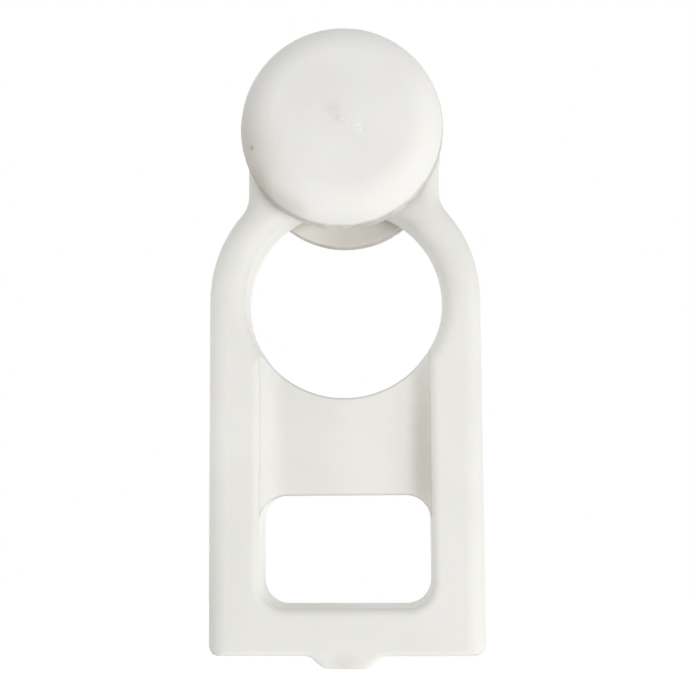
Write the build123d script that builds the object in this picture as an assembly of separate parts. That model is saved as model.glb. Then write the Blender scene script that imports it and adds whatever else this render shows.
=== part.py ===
from build123d import *
import math
import os

# Curtain track glider: a flat moulded frame that hangs from two wheels.
# The wheels run on the two lips of a channel track, one on each side of the frame's head.
# Millimetres. X is along the track, Y is across it, Z is up.
# The origin is on the track's lips: half way between the wheels, straight below their axle.

# Wheels
wheel_r = 5.05
rim_h = 0.4           # straight part of the rim, with its broken inner edge
rim_break = 0.1       # broken edge of the rim beside the plate
edge_r = 1.8          # large soft rounding of the outer edge
crown_r = 50.0        # very flat dome of the outer face
gate_r = 1.0          # low gate boss in the middle of the dome
gate_h = 0.05

# Axle stubs and the bores that snap over them
stub_r = 1.5
stub_len = 1.45
stub_lead = 0.3       # lead-in chamfer at the tip
bead_h = 0.12         # snap bead, how far it stands out of the stub
bead_w = 0.6
bead_at = 0.8         # middle of the bead, from the plate
running_gap = 0.05    # radial clearance between stub and bore
axial_gap = 0.1       # between the plate and a wheel's hub face
hub_r = 2.4           # raised hub face around the bore
hub_h = 0.12
bore_lead = 0.15      # chamfer at the mouth of the bore
tip_gap = 0.15        # between the tip of the stub and the end of the bore

# Frame
plate_t = 3.2
frame_bottom = 21.0   # depth of the lower edge below the track's lips
head_w = 9.75
neck_fillet = 1.6     # concave corner between the neck and the ring
side_round = 1.0      # soft outer edges of the ring and the rails
lower_round = 0.3     # edges along the foot of the frame
corner_r = 0.7        # lower corners seen from the front

ring_hole_r = 5.0
ring_wall = 1.87      # from the hole to the outer side of the ring, which the rails carry on
ring_drop = 3.3       # the ring's middle, below the track's lips
mouth_round = 0.8     # wide rounding of the hole's rim on both faces

# Rectangular eye for the curtain hook, and the thinned web above it
eye_w = 8.53
eye_h = 5.5
eye_corner_r = 1.25
foot_bar_h = 2.3
web_t = 1.0
slope_run = 0.75      # width of the slope from each rail down to the web
web_fillet = 1.2      # hollow where the slope meets the web
inner_round = 0.4     # edges of the rails and the bar beside the web and the eye
lip_flat = 0.05       # straight strip left beside a rounding

# Moulding tab left at the foot
tab_w = 3.6
tab_tip_w = 2.15
tab_h = 0.62
tab_tip_r = 0.6
tab_root_r = 0.7

# How far a cutting tool passes the surface that it cuts
tool_over = 1.0

# Derived places
axle_z = wheel_r
head_r = head_w / 2
half_t = plate_t / 2
ring_z = -ring_drop
ring_r = ring_hole_r + ring_wall
frame_w = ring_r * 2
mouth_used = min(mouth_round, ring_wall - side_round - lip_flat)
foot_z = -frame_bottom
eye_low_z = foot_z + foot_bar_h
eye_mid_z = eye_low_z + eye_h / 2
web_depth = (plate_t - web_t) / 2
bore_r = stub_r + running_gap
bore_depth = stub_len - axial_gap + tip_gap


def arc_about(centre, start, end):
    """Shorter arc from start to end about a centre."""
    mid = (Vector(start) + Vector(end)) / 2 - Vector(centre)
    radius = (Vector(start) - Vector(centre)).length
    return ThreePointArc(start, Vector(centre) + mid.normalized() * radius, end)


def edges_in_face(part, face_y):
    """Edges that lie at a distance face_y in front of or behind the plate's middle."""
    return part.edges().filter_by(
        lambda e: abs(abs(e.position_at(0.5).Y) - face_y) < 1e-4
        and abs(e.position_at(0).Y - e.position_at(1).Y) < 1e-4
    )


def upper_plate():
    """Head, neck and the upper half of the ring, with soft edges all round."""
    ring = Pos(0, ring_z) * Circle(ring_r)
    neck = Pos(0, (ring_z + axle_z) / 2) * Rectangle(head_w, axle_z - ring_z)
    head = Pos(0, axle_z) * Circle(head_r)
    outline = ring + neck + head
    crotch_z = ring_z + math.sqrt(ring_r**2 - head_r**2)
    crotches = outline.vertices().filter_by(
        lambda v: abs(abs(v.X) - head_r) < 1e-3 and abs(v.Y - crotch_z) < 1e-3
    )
    outline = fillet(crotches, neck_fillet)
    reach = axle_z + head_r - ring_z
    outline &= Pos(0, ring_z + reach / 2) * Rectangle(frame_w * 2, reach)
    plate = extrude(Plane.XZ * outline, half_t, both=True)
    soft = edges_in_face(plate, half_t).filter_by(lambda e: e.center().Z > ring_z + 1e-3)
    return fillet(soft, side_round)


def foot_outline():
    """Front view of the lower half, with its rounded corners and the tab."""
    height = ring_z - foot_z
    outline = Pos(0, foot_z + height / 2) * Rectangle(frame_w, height)
    corners = outline.vertices().group_by(Axis.Y)[0]
    outline = fillet(corners, corner_r)
    tip_z = foot_z - tab_h
    tab = make_face(
        Polyline(
            (-tab_w / 2, foot_z + tab_h),
            (-tab_w / 2, foot_z),
            (-tab_tip_w / 2, tip_z),
            (tab_tip_w / 2, tip_z),
            (tab_w / 2, foot_z),
            (tab_w / 2, foot_z + tab_h),
            close=True,
        )
    )
    outline += tab
    tips = outline.vertices().filter_by(lambda v: abs(v.Y - tip_z) < 1e-4)
    outline = fillet(tips, tab_tip_r)
    roots = outline.vertices().filter_by(
        lambda v: abs(v.Y - foot_z) < 1e-4 and abs(abs(v.X) - tab_w / 2) < 1e-3
    )
    return fillet(roots, tab_root_r)


def lower_plate():
    """Lower half of the frame before it is pierced: soft long sides, crisper foot."""
    plate = extrude(Plane.XZ * foot_outline(), half_t, both=True)
    crisp = edges_in_face(plate, half_t).filter_by(lambda e: e.center().Z < ring_z - 1e-3)
    plate = fillet(crisp, lower_round)
    section = RectangleRounded(frame_w, plate_t, side_round)
    reach = ring_z - foot_z + tab_h
    slab = Pos(0, 0, ring_z - reach) * extrude(section, reach)
    return plate & slab


def ring_hole():
    """Round hole with a bell mouth on both faces, as a tool to cut with."""
    mouth_r = ring_hole_r + mouth_used
    over = half_t + tool_over
    straight = half_t - mouth_used
    profile = make_face(
        [
            Line((0, -over), (mouth_r, -over)),
            Line((mouth_r, -over), (mouth_r, -half_t)),
            arc_about((mouth_r, -straight), (mouth_r, -half_t), (ring_hole_r, -straight)),
            Line((ring_hole_r, -straight), (ring_hole_r, straight)),
            arc_about((mouth_r, straight), (ring_hole_r, straight), (mouth_r, half_t)),
            Line((mouth_r, half_t), (mouth_r, over)),
            Line((mouth_r, over), (0, over)),
            Line((0, over), (0, -over)),
        ]
    )
    return Pos(0, 0, ring_z) * revolve(profile, Axis.Y)


def web_recess():
    """Channel that thins the web between the ring and the eye, on the front face."""
    half_w = eye_w / 2
    floor_half = half_w - slope_run
    floor_y = -half_t + web_depth
    shoulder_y = -half_t + inner_round + lip_flat
    over_y = -half_t - tool_over
    section = make_face(
        Polyline(
            (-half_w, over_y),
            (half_w, over_y),
            (half_w, shoulder_y),
            (floor_half, floor_y),
            (-floor_half, floor_y),
            (-half_w, shoulder_y),
            close=True,
        )
    )
    floor_corners = section.vertices().filter_by(lambda v: abs(v.Y - floor_y) < 1e-6)
    section = fillet(floor_corners, web_fillet)
    return Pos(0, 0, eye_mid_z) * extrude(section, ring_z - eye_mid_z)


def pierced_lower_plate():
    """Lower half with the eye and the thinned web, and its inner edges rounded."""
    recess = web_recess()
    eye = RectangleRounded(eye_w, eye_h, eye_corner_r)
    eye = Pos(0, 0, eye_mid_z) * extrude(Plane.XZ * eye, plate_t, both=True)
    plate = lower_plate() - recess - mirror(recess, Plane.XZ) - eye
    inner = edges_in_face(plate, half_t).filter_by(
        lambda e: abs(e.center().X) < eye_w / 2 + 1e-3
        and foot_z + foot_bar_h / 2 < e.center().Z < ring_z - 1e-3
    )
    return fillet(inner, inner_round)


def axle_stub():
    """Stub on the front face of the head, with its snap bead, drawn along +Z."""
    stub_sunk = half_t / 2
    profile = make_face(
        Polyline(
            (0, -stub_sunk),
            (stub_r, -stub_sunk),
            (stub_r, bead_at - bead_w / 2),
            (stub_r + bead_h, bead_at),
            (stub_r, bead_at + bead_w / 2),
            (stub_r, stub_len - stub_lead),
            (stub_r - stub_lead, stub_len),
            (0, stub_len),
            close=True,
        )
    )
    return revolve(Plane.XZ * profile, Axis.Z)


def facing_front(shape):
    """Turns a shape drawn along +Z to stand on the front face of the head."""
    return Pos(0, -half_t, axle_z) * Rot(90, 0, 0) * shape


def glider_frame():
    plate = upper_plate() + pierced_lower_plate() - ring_hole()
    stub = facing_front(axle_stub())
    return plate + stub + mirror(stub, Plane.XZ)


def wheel():
    """Front wheel, drawn along +Z from the plate's face outwards, then turned."""
    hub = axial_gap
    face = hub + hub_h
    rim_top = face + rim_h
    rim_in = wheel_r - rim_break
    across = wheel_r - edge_r
    crown_z = rim_top - math.sqrt((crown_r - edge_r) ** 2 - across**2)
    crown_share = crown_r / (crown_r - edge_r)
    edge_end = (across * crown_share, crown_z + (rim_top - crown_z) * crown_share)
    boss_z = crown_z + math.sqrt(crown_r**2 - gate_r**2)
    boss_r = (gate_r**2 + gate_h**2) / (2 * gate_h)
    boss_top = boss_z + gate_h
    bore_top = hub + bore_depth
    bore = Polyline(
        (0, boss_top),
        (0, bore_top),
        (bore_r, bore_top),
        (bore_r, bead_at + bead_w / 2),
        (bore_r + bead_h, bead_at),
        (bore_r, bead_at - bead_w / 2),
        (bore_r, hub + bore_lead),
        (bore_r + bore_lead, hub),
        (hub_r, hub),
        (hub_r + hub_h, face),
        (rim_in, face),
        (wheel_r, face + rim_break),
        (wheel_r, rim_top),
    )
    outside = [
        arc_about((across, rim_top), (wheel_r, rim_top), edge_end),
        arc_about((0, crown_z), edge_end, (gate_r, boss_z)),
        arc_about((0, boss_top - boss_r), (gate_r, boss_z), (0, boss_top)),
    ]
    profile = make_face(bore.edges() + outside)
    return facing_front(revolve(Plane.XZ * profile, Axis.Z))


os.makedirs("parts", exist_ok=True)
front_wheel = wheel()
export_step(glider_frame(), "parts/glider_frame.step")
export_step(front_wheel, "parts/front_wheel.step")
export_step(mirror(front_wheel, Plane.XZ), "parts/rear_wheel.step")
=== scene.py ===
import bpy
import math
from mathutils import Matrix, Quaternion, Vector


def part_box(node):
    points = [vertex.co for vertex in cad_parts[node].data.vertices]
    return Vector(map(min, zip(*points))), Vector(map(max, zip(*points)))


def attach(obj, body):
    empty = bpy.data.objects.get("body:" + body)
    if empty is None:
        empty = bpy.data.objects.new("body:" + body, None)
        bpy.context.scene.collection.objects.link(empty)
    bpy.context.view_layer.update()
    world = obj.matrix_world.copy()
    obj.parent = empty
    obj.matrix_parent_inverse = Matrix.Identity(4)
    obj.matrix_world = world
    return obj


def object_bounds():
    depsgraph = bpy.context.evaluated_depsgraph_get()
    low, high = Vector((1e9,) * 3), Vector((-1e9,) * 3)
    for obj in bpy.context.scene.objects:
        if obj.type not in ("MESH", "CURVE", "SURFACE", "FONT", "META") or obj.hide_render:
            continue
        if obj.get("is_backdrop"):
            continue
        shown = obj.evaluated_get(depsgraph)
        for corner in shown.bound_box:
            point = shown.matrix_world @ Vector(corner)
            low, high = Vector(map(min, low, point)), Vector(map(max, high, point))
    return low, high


# Looks of a moulded curtain track glider. Metres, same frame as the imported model.
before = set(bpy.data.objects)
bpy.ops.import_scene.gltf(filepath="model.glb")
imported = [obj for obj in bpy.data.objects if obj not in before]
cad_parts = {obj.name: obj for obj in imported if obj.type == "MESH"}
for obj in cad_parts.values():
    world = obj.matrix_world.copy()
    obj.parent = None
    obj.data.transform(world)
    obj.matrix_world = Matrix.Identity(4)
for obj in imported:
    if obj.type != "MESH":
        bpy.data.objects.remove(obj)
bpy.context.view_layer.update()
mm = 0.001
print("frame loaded:", ", ".join(sorted(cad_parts)))


# helpers for node trees
def newNode(tree, kind, place, sockets=None, **settings):
    node = tree.nodes.new(kind)
    node.location = place
    for name, value in settings.items():
        setattr(node, name, value)
    for name, value in (sockets or {}).items():
        if isinstance(value, bpy.types.NodeSocket):
            tree.links.new(value, node.inputs[name])
        else:
            node.inputs[name].default_value = value
    return node


def doMath(tree, operation, place, *values):
    sockets = dict(enumerate(values))
    return newNode(tree, "ShaderNodeMath", place, sockets, operation=operation).outputs[0]


def doVectorMath(tree, operation, place, *values):
    sockets = dict(enumerate(values))
    node = newNode(tree, "ShaderNodeVectorMath", place, sockets, operation=operation)
    return node.outputs["Value" if operation in ("LENGTH", "DOT_PRODUCT") else "Vector"]


def remap(tree, place, value, low, high, toLow=0.0, toHigh=1.0, soft=True):
    node = newNode(
        tree, "ShaderNodeMapRange", place,
        {"Value": value, "From Min": low, "From Max": high, "To Min": toLow, "To Max": toHigh},
        interpolation_type="SMOOTHSTEP" if soft else "LINEAR",
    )
    return node.outputs[0]


def mixColour(tree, place, share, first, second):
    sockets = {0: share, 6: first, 7: second}     # the Mix node's sockets for colours
    return newNode(tree, "ShaderNodeMix", place, sockets, data_type="RGBA").outputs[2]


def makeNoise(tree, place, at, scale, detail=3.0, roughness=0.5):
    node = newNode(
        tree, "ShaderNodeTexNoise", place,
        {"Vector": at, "Scale": scale, "Detail": detail, "Roughness": roughness},
    )
    return node.outputs[0]


def distanceFrom(tree, place, at, point, stretch):
    x, y = place
    away = doVectorMath(tree, "SUBTRACT", (x - 400, y), at, point)
    drawn = doVectorMath(tree, "MULTIPLY", (x - 200, y), away, stretch)
    return doVectorMath(tree, "LENGTH", place, drawn)


def seenBy(tree, place, *kinds):
    # 1 for these kinds of ray and 0 for the light that falls on the object
    x, y = place
    rays = newNode(tree, "ShaderNodeLightPath", (x - 400, y))
    seen = rays.outputs[kinds[0]]
    for kind in kinds[1:]:
        seen = doMath(tree, "MAXIMUM", place, seen, rays.outputs[kind])
    return seen


def newGroup(name, inputs, outputs):
    group = bpy.data.node_groups.new(name, "ShaderNodeTree")
    for label, value in inputs.items():
        kind = "NodeSocketFloat"
        if isinstance(value, tuple):
            kind = "NodeSocketColor" if len(value) == 4 else "NodeSocketVector"
        socket = group.interface.new_socket(name=label, in_out="INPUT", socket_type=kind)
        socket.default_value = value
    for label, kind in outputs.items():
        group.interface.new_socket(name=label, in_out="OUTPUT", socket_type=kind)
    source = newNode(group, "NodeGroupInput", (-1100, 0))
    result = newNode(group, "NodeGroupOutput", (900, 0))
    return group, source.outputs, result.inputs


def useGroup(tree, group, place, sockets):
    return newNode(tree, "ShaderNodeGroup", place, sockets, node_tree=group).outputs


# shared effects, all on places in millimetres
def buildResinClouding():
    # slow drift between two shades of the resin, as in any thick white moulding
    group, source, result = newGroup(
        "resinClouding",
        {"Place": (0, 0, 0), "Size": 5.0, "Base": (0.8, 0.8, 0.8, 1), "Deep": (0.7, 0.7, 0.7, 1)},
        {"Colour": "NodeSocketColor"},
    )
    scale = doMath(group, "DIVIDE", (-700, -200), 1.0, source["Size"])
    noise = makeNoise(group, (-500, 0), source["Place"], scale)
    cloud = remap(group, (-300, 0), noise, 0.35, 0.7)
    colour = mixColour(group, (200, 0), cloud, source["Base"], source["Deep"])
    group.links.new(colour, result["Colour"])
    return group


def buildMouldSurface():
    # height in mm: fine spark-eroded grain of the mould on top of a slow ripple
    group, source, result = newGroup(
        "mouldSurface",
        {
            "Place": (0, 0, 0), "Grain Size": 0.1, "Grain Height": 0.002,
            "Ripple Size": 1.6, "Ripple Height": 0.006,
        },
        {"Height": "NodeSocketFloat", "Grain": "NodeSocketFloat"},
    )
    grainScale = doMath(group, "DIVIDE", (-700, 200), 1.0, source["Grain Size"])
    grain = makeNoise(group, (-500, 200), source["Place"], grainScale, 2.0, 0.6)
    rippleScale = doMath(group, "DIVIDE", (-700, -200), 1.0, source["Ripple Size"])
    ripple = makeNoise(group, (-500, -200), source["Place"], rippleScale, 1.0, 0.4)
    fine = doMath(group, "MULTIPLY", (-200, 200), grain, source["Grain Height"])
    slow = doMath(group, "MULTIPLY", (-200, -200), ripple, source["Ripple Height"])
    height = doMath(group, "ADD", (100, 0), fine, slow)
    group.links.new(height, result["Height"])
    group.links.new(grain, result["Grain"])
    return group


def buildHandlingScuffs():
    # thin, short, broken scratches that run mostly one way
    group, source, result = newGroup(
        "handlingScuffs",
        {"Place": (0, 0, 0), "Turn": (0, 0, 0), "Width": 0.03, "Length": 1.2, "Share": 0.3},
        {"Mask": "NodeSocketFloat"},
    )
    across = doMath(group, "DIVIDE", (-800, -250), 1.0, source["Width"])
    along = doMath(group, "DIVIDE", (-800, -400), 1.0, source["Length"])
    stretch = newNode(
        group, "ShaderNodeCombineXYZ", (-600, -300), {0: across, 1: along, 2: along}
    )
    turned = newNode(
        group, "ShaderNodeMapping", (-400, 0),
        {"Vector": source["Place"], "Rotation": source["Turn"], "Scale": stretch.outputs[0]},
    )
    lines = makeNoise(group, (-200, 100), turned.outputs[0], 1.0, 2.0, 0.7)
    patches = makeNoise(group, (-200, -200), source["Place"], 0.45, 2.0)
    thin = remap(group, (50, 100), lines, 0.66, 0.74)
    start = doMath(group, "SUBTRACT", (50, -350), 0.85, source["Share"])
    patch = doMath(group, "GREATER_THAN", (250, -200), patches, start)
    mask = doMath(group, "MULTIPLY", (500, 0), thin, patch)
    group.links.new(mask, result["Mask"])
    return group


def buildResinSpecks():
    # sparse dark specks in the resin; Share is how many cells hold one
    group, source, result = newGroup(
        "resinSpecks",
        {"Place": (0, 0, 0), "Spacing": 1.2, "Radius": 0.03, "Share": 0.2},
        {"Mask": "NodeSocketFloat"},
    )
    scale = doMath(group, "DIVIDE", (-700, -200), 1.0, source["Spacing"])
    cells = newNode(
        group, "ShaderNodeTexVoronoi", (-500, 0), {"Vector": source["Place"], "Scale": scale}
    ).outputs
    reach = doMath(group, "MULTIPLY", (-300, 0), cells["Distance"], source["Spacing"])
    inside = remap(group, (-100, 0), reach, source["Radius"], 0.0)
    lot = newNode(group, "ShaderNodeSeparateColor", (-300, -250), {"Color": cells["Color"]})
    chosen = doMath(group, "LESS_THAN", (-100, -250), lot.outputs[0], source["Share"])
    mask = doMath(group, "MULTIPLY", (200, 0), inside, chosen)
    group.links.new(mask, result["Mask"])
    return group


def buildSpot():
    # soft ragged patch about one point; Squash below 1 draws it out that way
    group, source, result = newGroup(
        "spot",
        {
            "Place": (0, 0, 0), "Middle": (0, 0, 0), "Squash": (1, 1, 1),
            "Radius": 0.3, "Ragged": 0.1, "Grit Size": 0.1,
        },
        {"Mask": "NodeSocketFloat"},
    )
    reach = distanceFrom(
        group, (-300, 100), source["Place"], source["Middle"], source["Squash"]
    )
    scale = doMath(group, "DIVIDE", (-700, -200), 1.0, source["Grit Size"])
    noise = makeNoise(group, (-500, -200), source["Place"], scale, 2.0)
    wobble = doMath(group, "MULTIPLY_ADD", (-100, -150), noise, source["Ragged"], reach)
    full = doMath(group, "MULTIPLY", (-250, -350), source["Radius"], 0.25)
    mask = remap(group, (100, 0), wobble, source["Radius"], full)
    group.links.new(mask, result["Mask"])
    return group


def buildPartingSeam():
    # thin raised line where the two mould halves meet, at Offset across the part
    group, source, result = newGroup(
        "partingSeam",
        {"Place": (0, 0, 0), "Offset": 0.0, "Width": 0.05},
        {"Mask": "NodeSocketFloat"},
    )
    parts = newNode(group, "ShaderNodeSeparateXYZ", (-700, 0), {0: source["Place"]})
    side = doMath(group, "ABSOLUTE", (-500, 0), parts.outputs["Y"])
    away = doMath(group, "SUBTRACT", (-300, 0), side, source["Offset"])
    gap = doMath(group, "ABSOLUTE", (-150, 0), away)
    line = remap(group, (50, 0), gap, source["Width"], 0.0)
    noise = makeNoise(group, (-150, -250), source["Place"], 1.3)
    worn = remap(group, (50, -250), noise, 0.35, 0.6, 0.35, 1.0)
    mask = doMath(group, "MULTIPLY", (350, 0), line, worn)
    group.links.new(mask, result["Mask"])
    return group


def buildRimOutlineShade():
    # painted shade: a dark line on a wheel's outer rim, which draws its outline, from Inner to
    # Outer away from its axle
    group, source, result = newGroup(
        "rimOutlineShade",
        {"Place": (0, 0, 0), "Axle": (0, 0, 0), "Inner": 4.8, "Outer": 5.0},
        {"Mask": "NodeSocketFloat"},
    )
    reach = distanceFrom(group, (-300, 100), source["Place"], source["Axle"], (1, 0, 1))
    band = remap(group, (-50, 100), reach, source["Inner"], source["Outer"])
    noise = makeNoise(group, (-300, -200), source["Place"], 1.1)
    worn = remap(group, (-50, -200), noise, 0.3, 0.6, 0.5, 1.0)
    mask = doMath(group, "MULTIPLY", (250, 0), band, worn)
    group.links.new(mask, result["Mask"])
    return group


resinClouding = buildResinClouding()
mouldSurface = buildMouldSurface()
handlingScuffs = buildHandlingScuffs()
resinSpecks = buildResinSpecks()
spot = buildSpot()
rimOutlineShade = buildRimOutlineShade()
partingSeam = buildPartingSeam()
print("shared shader groups ready")


# stage: pale floor far below the hanging part, white surroundings
stageSet = {
    "floorDrop": 0.16,        # far enough to keep the part's shadow out of the straight view
    "floorSize": 3.0,
    "floorColour": (0.86, 0.86, 0.86, 1),
    "floorLift": 0.55,        # what the camera sees on top of the lit floor
    "sky": (1, 1, 1, 1),
    "ambient": 0.69,          # what lights the object
    "white": 1.0,             # what the camera sees
}


def buildFloor(s):
    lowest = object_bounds()[0].z
    bpy.ops.object.select_all(action="DESELECT")
    bpy.ops.mesh.primitive_plane_add(
        size=s["floorSize"], location=(0, 0, lowest - s["floorDrop"])
    )
    floor = bpy.context.object
    floor.name = "studio_floor"
    material = bpy.data.materials.new("paleFloor")
    material.use_nodes = True
    tree = material.node_tree
    tree.nodes.clear()
    diffuse = newNode(tree, "ShaderNodeBsdfDiffuse", (-300, 100), {"Color": s["floorColour"]})
    glow = newNode(tree, "ShaderNodeEmission", (-300, -100), {"Strength": s["floorLift"]})
    both = newNode(
        tree, "ShaderNodeAddShader", (-50, 0), {0: diffuse.outputs[0], 1: glow.outputs[0]}
    )
    seen = seenBy(tree, (-50, 350), "Is Camera Ray", "Is Glossy Ray")
    pick = newNode(
        tree, "ShaderNodeMixShader", (200, 50),
        {0: seen, 1: diffuse.outputs[0], 2: both.outputs[0]},
    )
    newNode(tree, "ShaderNodeOutputMaterial", (420, 50), {"Surface": pick.outputs[0]})
    floor.data.materials.append(material)
    floor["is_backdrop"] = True


def buildWorld(s):
    world = bpy.data.worlds.new("studio")
    bpy.context.scene.world = world
    world.use_nodes = True
    tree = world.node_tree
    tree.nodes.clear()
    light, white = (
        newNode(
            tree, "ShaderNodeBackground", (-200, up), {"Color": s["sky"], "Strength": s[level]}
        ).outputs[0]
        for level, up in (("ambient", 100), ("white", -100))
    )
    seen = seenBy(tree, (-250, 300), "Is Camera Ray", "Is Glossy Ray", "Is Transmission Ray")
    pick = newNode(tree, "ShaderNodeMixShader", (50, 50), {0: seen, 1: light, 2: white})
    newNode(tree, "ShaderNodeOutputWorld", (250, 50), {"Surface": pick.outputs[0]})


# soft studio light: the bright side is the right and below, as in the picture;
# the side lamp has a grid and is aimed low, so it fills the hanger but hardly the wheel
openAngle = 180               # degrees: a lamp with no grid
lampSet = {
    "key": {
        "azimuth": 40, "elevation": -20, "aimUp": -0.006,
        "distance": 0.16, "size": 0.09, "grid": openAngle, "level": 0.40,
    },
    "low": {
        "azimuth": 60, "elevation": -45, "aimUp": -0.006,
        "distance": 0.16, "size": 0.09, "grid": openAngle, "level": 0.14,
    },
    "side": {
        "azimuth": -75, "elevation": 0, "aimUp": -0.009,
        "distance": 0.16, "size": 0.02, "grid": 10, "level": 0.20,
    },
    "back": {
        "azimuth": 165, "elevation": 0, "aimUp": -0.006,
        "distance": 0.20, "size": 0.14, "grid": openAngle, "level": 0.20,
    },
}


def buildLamp(name, s):
    turn = math.radians(s["azimuth"])
    rise = math.radians(s["elevation"])
    flat = math.cos(rise)
    direction = Vector((math.sin(turn) * flat, -math.cos(turn) * flat, math.sin(rise)))
    aim = Vector((0, 0, s["aimUp"]))
    bpy.ops.object.light_add(type="AREA", location=aim + direction * s["distance"])
    lamp = bpy.context.object
    lamp.name = name + "_lamp"
    lamp.rotation_mode = "QUATERNION"
    lamp.rotation_quaternion = direction.to_track_quat("Z", "Y")
    lamp.data.shape = "DISK"
    lamp.data.size = s["size"]
    lamp.data.spread = math.radians(s["grid"])
    # a grid throws the same light into a narrow cone, which makes it stronger there
    gain = 1.0
    if s["grid"] < openAngle:
        half = math.radians(s["grid"] / 2)
        gain = 0.5 * math.tan(half) / (math.tan(half) - half)
    # a white matt sheet that faces the lamp renders at this level
    lamp.data.energy = s["level"] * math.pi**2 * s["distance"] ** 2 / gain


cameraSet = {
    "place": (0.00258, -0.05176, -0.01294),
    "aim": (0.000113, 0.0, -0.008464),
    "roll": -0.4,             # degrees: the part leans a little to the left in the picture
    "lens": 52.71,
    "sensor": 36.0,
    "shiftUp": 0.078,
    "nearest": 0.001,
    "farthest": 10.0,
}


def buildCamera(s):
    place = Vector(s["place"])
    bpy.ops.object.camera_add(location=place)
    camera = bpy.context.object
    camera.name = "photo_camera"
    camera.rotation_mode = "QUATERNION"
    look = (Vector(s["aim"]) - place).to_track_quat("-Z", "Y")
    camera.rotation_quaternion = look @ Quaternion((0, 0, 1), math.radians(s["roll"]))
    camera.data.lens = s["lens"]
    camera.data.sensor_width = s["sensor"]
    camera.data.shift_y = s["shiftUp"]
    camera.data.clip_start = s["nearest"]
    camera.data.clip_end = s["farthest"]
    bpy.context.scene.camera = camera


buildFloor(stageSet)
buildWorld(stageSet)
for lampName, oneLamp in lampSet.items():
    buildLamp(lampName, oneLamp)
buildCamera(cameraSet)
bpy.context.scene.view_settings.view_transform = "Standard"
print("stage, lamps and camera ready")


# what both plastics share; lengths in mm
plasticSet = {
    "hollowShadeSpan": (0.85, 0.25),        # openness at which the painted shade in hollows starts, and at which it is full
    "bendSpan": (0.94, 0.74),         # the same for the painted shade along an edge: 1 is flat
    "speck": (0.35, 0.27, 0.18, 1),
    "scuffWidth": 0.03, "scuffLength": 1.2, "scuffShare": 0.3, "scuffRoughness": 0.12,
    "specular": 0.09,
    "glowWeight": 0.2, "glowRadius": (1.0, 0.8, 0.6), "glowScale": 0.6,    # light inside
}
framePlasticSet = plasticSet | {
    "base": (0.800, 0.792, 0.760, 1), "deep": (0.776, 0.768, 0.730, 1), "cloudSize": 4.5,
    # painted shade in hollows, corners and between parts: its colour, reach and share
    "hollowShade": (0.66, 0.625, 0.54, 1), "hollowShadeReach": 0.7, "hollowShadeShare": 0.3,
    "speckSpacing": 2.2, "speckRadius": 0.035, "speckShare": 0.12,
    "roughness": (0.48, 0.60),
    "grainSize": 0.11, "grainHeight": 0.0022, "rippleSize": 1.8, "rippleHeight": 0.008,
    "scuffTurn": (0.0, 0.0, 0.35), "scuffDepth": -0.0022,
    "seamOffset": 0.0, "seamWidth": 0.05, "seamHeight": 0.02,
    "rimShadeShare": 0.0,
    # painted shade: thin dark lines along the sharp edges, with their reach, share and colour
    "edgeRadius": 0.16, "edgeShadeReach": 0.35, "edgeShadeShare": 0.75,
    "edgeShadeColour": (0.46, 0.45, 0.40, 1),
    # painted shade: darker patches in the hollow beside one rail, on the web next to it and on
    # the tab, front and back
    "spots": [
        {"middle": middle, "squash": squash, "radius": radius, "ragged": 0.4, "grit": 0.9,
         "share": share, "colour": (0.55, 0.52, 0.44, 1)}
        for side in (-1, 1)
        for middle, squash, radius, share in (
            ((3.95, side * 0.75, -10.9), (1, 1, 0.15), 1.2, 0.55),
            ((3.5, side * 0.75, -11.4), (1, 3, 0.3), 2.2, 0.22),
            ((0.0, side * 1.6, -21.7), (1, 1, 0.9), 1.3, 0.3),
        )
    ],
}
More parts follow.
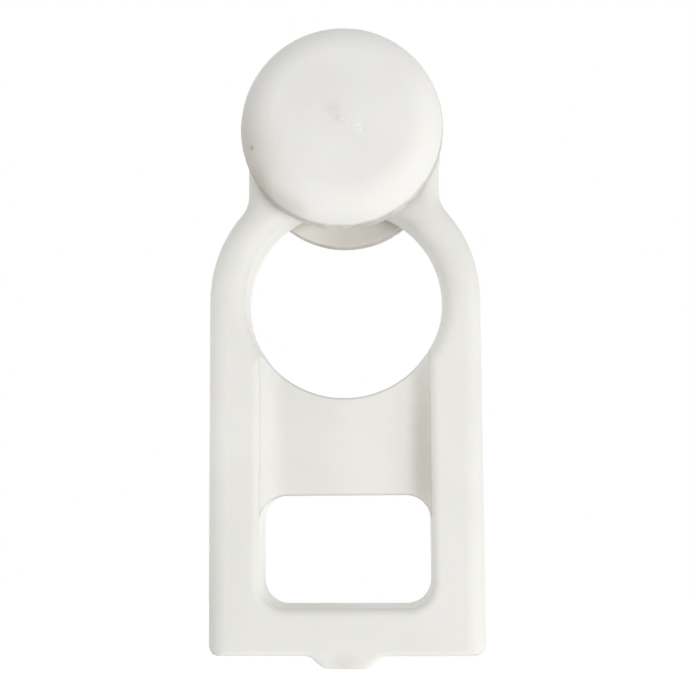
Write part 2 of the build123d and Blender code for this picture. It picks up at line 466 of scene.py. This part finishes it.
wheelPlasticSet = plasticSet | {
    "base": (0.850, 0.842, 0.815, 1), "deep": (0.825, 0.815, 0.785, 1), "cloudSize": 3.2,
    # painted shade in hollows, corners and between parts: its colour, reach and share
    "hollowShade": (0.64, 0.60, 0.51, 1), "hollowShadeReach": 0.8, "hollowShadeShare": 0.75,
    "speckSpacing": 2.6, "speckRadius": 0.03, "speckShare": 0.1,
    "roughness": (0.46, 0.58),
    "grainSize": 0.1, "grainHeight": 0.0018, "rippleSize": 1.5, "rippleHeight": 0.007,
    "scuffTurn": (0.0, 0.7, 0.2), "scuffDepth": -0.002,
    "seamOffset": 1.95, "seamWidth": 0.05, "seamHeight": 0.015,
    # painted shade: a dark line along each wheel's outer rim, which draws its outline
    "rimShadeShare": 0.75, "bandInner": 4.95, "bandOuter": 5.04, "axle": (0, 0, 5.05),
    "rimShadeColour": (0.42, 0.40, 0.34, 1),
    # painted shade: thin dark lines along the sharp edges, with their reach, share and colour
    "edgeRadius": 0.06, "edgeShadeReach": 0.08, "edgeShadeShare": 0.05,
    "edgeShadeColour": (0.45, 0.44, 0.39, 1),
    # painted shade on the front wheel's left and lower rim, with some warm dirt on the left,
    # painted shadow on the rear wheel's rim below the front wheel, and a dirt speck
    "spots": [
        {"middle": (-4.9, -2.3, 3.3), "squash": (1, 1, 0.7), "radius": 3.8,
         "ragged": 0.9, "grit": 1.6, "share": 0.6, "colour": (0.56, 0.53, 0.45, 1)},
        {"middle": (-4.1, -2.6, 2.0), "squash": (1, 1, 0.8), "radius": 1.7,
         "ragged": 0.5, "grit": 0.7, "share": 0.5, "colour": (0.47, 0.43, 0.36, 1)},
        {"middle": (-2.9, -2.9, 0.9), "squash": (0.8, 1, 1), "radius": 1.7,
         "ragged": 0.5, "grit": 0.7, "share": 0.4, "colour": (0.52, 0.51, 0.48, 1)},
        {"middle": (0.3, 2.9, 0.3), "squash": (0.7, 1, 1), "radius": 2.7,
         "ragged": 0.6, "grit": 1.6, "share": 0.8, "colour": (0.56, 0.53, 0.46, 1)},
        {"middle": (-4.33, -3.47, 3.77), "squash": (0.7, 1, 1), "radius": 0.23,
         "ragged": 0.1, "grit": 0.12, "share": 0.6, "colour": (0.36, 0.26, 0.21, 1)},
    ] + [
        # at the gate of each wheel: a painted shade smudge and painted highlights on the torn
        # plastic
        {"middle": (across, side * 4.14, up), "squash": (1, 1, squash), "radius": radius,
         "ragged": radius * 0.6, "grit": 0.15, "share": share, "colour": colour}
        for across, up, squash, radius, share, colour in (
            (-0.31, 5.36, 1.0, 0.8, 0.3, (0.67, 0.66, 0.62, 1)),
            (0.1, 4.92, 1.0, 0.26, 0.9, (0.96, 0.96, 0.94, 1)),
            (0.93, 4.5, 0.6, 0.42, 0.6, (0.96, 0.96, 0.94, 1)),
            (0.99, 4.33, 1.0, 0.3, 0.9, (0.97, 0.97, 0.95, 1)),
        )
        for side in (-1, 1)
    ],
}


def paintPlastic(tree, place, s):
    colour = useGroup(
        tree, resinClouding, (-900, 400),
        {"Place": place, "Size": s["cloudSize"], "Base": s["base"], "Deep": s["deep"]},
    )["Colour"]
    # painted shade: the colour goes darker and warmer where nearby surfaces hem the point in
    # (ambient occlusion)
    shade = newNode(
        tree, "ShaderNodeAmbientOcclusion", (-900, 700),
        {"Distance": s["hollowShadeReach"] * mm}, samples=8,
    )
    hollowShadeMask = remap(
        tree, (-700, 700), shade.outputs["AO"], *s["hollowShadeSpan"], 0.0, s["hollowShadeShare"]
    )
    colour = mixColour(tree, (-400, 500), hollowShadeMask, colour, s["hollowShade"])
    specks = useGroup(
        tree, resinSpecks, (-900, 150),
        {
            "Place": place, "Spacing": s["speckSpacing"],
            "Radius": s["speckRadius"], "Share": s["speckShare"],
        },
    )["Mask"]
    colour = mixColour(tree, (-150, 450), specks, colour, s["speck"])
    # patches from the spots lists: painted shade on the frame; painted shade, painted highlights,
    # dirt and a speck on the wheels
    for step, one in enumerate(s["spots"]):
        down = -100 - 200 * step
        mask = useGroup(
            tree, spot, (-900, down),
            {
                "Place": place, "Middle": one["middle"], "Squash": one["squash"],
                "Radius": one["radius"], "Ragged": one["ragged"], "Grit Size": one["grit"],
            },
        )["Mask"]
        share = doMath(tree, "MULTIPLY", (-600, down), mask, one["share"])
        colour = mixColour(tree, (100 + 150 * step, 400), share, colour, one["colour"])
    # painted shade along the wheels' outer rims
    if s["rimShadeShare"]:
        band = useGroup(
            tree, rimOutlineShade, (500, 900),
            {"Place": place, "Axle": s["axle"], "Inner": s["bandInner"], "Outer": s["bandOuter"]},
        )["Mask"]
        share = doMath(tree, "MULTIPLY", (700, 800), band, s["rimShadeShare"])
        colour = mixColour(tree, (900, 600), share, colour, s["rimShadeColour"])
    # painted shade: thin dark lines along the sharp edges
    near = newNode(
        tree, "ShaderNodeBevel", (700, 900), {"Radius": s["edgeShadeReach"] * mm}, samples=6
    )
    flat = newNode(tree, "ShaderNodeNewGeometry", (700, 1100))
    bend = doVectorMath(
        tree, "DOT_PRODUCT", (900, 1000), near.outputs[0], flat.outputs["Normal"]
    )
    edge = remap(tree, (1100, 1000), bend, *s["bendSpan"], 0.0, s["edgeShadeShare"])
    return mixColour(tree, (1450, 700), edge, colour, s["edgeShadeColour"])


def surfacePlastic(tree, place, s):
    # normal and roughness, from the mould's surface, scuffs, the seam and rounded edges
    surface = useGroup(
        tree, mouldSurface, (-900, -800),
        {
            "Place": place, "Grain Size": s["grainSize"], "Grain Height": s["grainHeight"],
            "Ripple Size": s["rippleSize"], "Ripple Height": s["rippleHeight"],
        },
    )
    scuffs = useGroup(
        tree, handlingScuffs, (-900, -1050),
        {
            "Place": place, "Turn": s["scuffTurn"], "Width": s["scuffWidth"],
            "Length": s["scuffLength"], "Share": s["scuffShare"],
        },
    )["Mask"]
    seam = useGroup(
        tree, partingSeam, (-900, -1300),
        {"Place": place, "Offset": s["seamOffset"], "Width": s["seamWidth"]},
    )["Mask"]
    height = doMath(
        tree, "MULTIPLY_ADD", (-500, -900), scuffs, s["scuffDepth"], surface["Height"]
    )
    height = doMath(tree, "MULTIPLY_ADD", (-250, -900), seam, s["seamHeight"], height)
    rounded = newNode(
        tree, "ShaderNodeBevel", (950, -700), {"Radius": s["edgeRadius"] * mm}, samples=4
    )
    bump = newNode(
        tree, "ShaderNodeBump", (1200, -600),
        {"Height": height, "Distance": mm, "Normal": rounded.outputs[0]},
    )
    polish = remap(
        tree, (-250, -650), surface["Grain"], 0.3, 0.7, *s["roughness"], soft=False
    )
    worn = doMath(tree, "MULTIPLY_ADD", (50, -650), scuffs, s["scuffRoughness"], polish)
    return bump.outputs[0], worn


def plastic(name, s):
    material = bpy.data.materials.new(name)
    material.use_nodes = True
    tree = material.node_tree
    tree.nodes["Material Output"].location = (2000, 0)
    shader = tree.nodes["Principled BSDF"]
    shader.location = (1700, 0)
    coords = newNode(tree, "ShaderNodeTexCoord", (-1400, 0))
    place = newNode(
        tree, "ShaderNodeMapping", (-1200, 0),
        {"Vector": coords.outputs["Object"], "Scale": (1 / mm, 1 / mm, 1 / mm)},
    ).outputs[0]
    colour = paintPlastic(tree, place, s)
    normal, roughness = surfacePlastic(tree, place, s)
    tree.links.new(colour, shader.inputs["Base Color"])
    tree.links.new(normal, shader.inputs["Normal"])
    tree.links.new(roughness, shader.inputs["Roughness"])
    shader.inputs["Specular IOR Level"].default_value = s["specular"]
    shader.inputs["Subsurface Weight"].default_value = s["glowWeight"]
    shader.inputs["Subsurface Radius"].default_value = s["glowRadius"]
    shader.inputs["Subsurface Scale"].default_value = s["glowScale"] * mm
    return material


framePlastic = plastic("framePlastic", framePlasticSet)
wheelPlastic = plastic("wheelPlastic", wheelPlasticSet)
for name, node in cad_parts.items():
    material = wheelPlastic if "wheel" in name else framePlastic
    for slot in node.material_slots:
        slot.material = material
print("plastics ready")


# low torn stub of the gate near the middle of each wheel's face; lengths in mm
gateMarkSet = {
    "across": 0.98, "up": -0.70,      # from the wheel's middle
    "radius": 0.24,
    "rise": 0.014,
    "clear": 0.004,                   # at least this far below the wheel's outermost point
    "sunk": 0.04,                     # how far its middle lies inside the wheel
    "segments": 14, "rings": 8,
    "tear": 0.002, "evenTear": 0.8,   # how ragged the torn plastic is
    "seed": 3,
}


def markGate(wheelName, s):
    low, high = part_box(wheelName)
    outward = -1 if high.y < 0 else 1
    outermost = low.y if outward < 0 else high.y
    middle = (low + high) / 2
    x = middle.x + s["across"] * mm
    z = middle.z + s["up"] * mm
    # the wheel's face there, looked for from 1 mm outside
    outside = Vector((x, outermost + outward * mm, z))
    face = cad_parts[wheelName].ray_cast(outside, Vector((0, -outward, 0)))[1]
    room = abs(outermost - face.y) - s["clear"] * mm
    rise = min(room, s["rise"] * mm)
    thick = rise + s["sunk"] * mm
    radius = s["radius"] * mm
    bpy.ops.object.select_all(action="DESELECT")
    bpy.ops.mesh.primitive_uv_sphere_add(
        segments=s["segments"], ring_count=s["rings"], radius=radius,
        location=(x, face.y + outward * (rise - thick), z), rotation=(math.pi / 2, 0, 0),
    )
    mark = bpy.context.object
    mark.name = wheelName + "_gate_mark"
    mark.scale = (1, 1, thick / radius)
    bpy.ops.object.transform_apply(location=True, rotation=True, scale=True)
    bpy.ops.object.mode_set(mode="EDIT")
    bpy.ops.mesh.select_all(action="SELECT")
    bpy.ops.transform.vertex_random(
        offset=s["tear"] * mm, uniform=s["evenTear"], normal=0.0, seed=s["seed"]
    )
    bpy.ops.object.mode_set(mode="OBJECT")
    smooth = mark.modifiers.new("smooth", "SUBSURF")
    smooth.levels = smooth.render_levels = 1
    bpy.ops.object.modifier_apply(modifier=smooth.name)
    bpy.ops.object.shade_smooth()
    mark.data.materials.append(wheelPlastic)
    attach(mark, wheelName)


for wheelName in ("front_wheel", "rear_wheel"):
    markGate(wheelName, gateMarkSet)
print("gate marks ready")
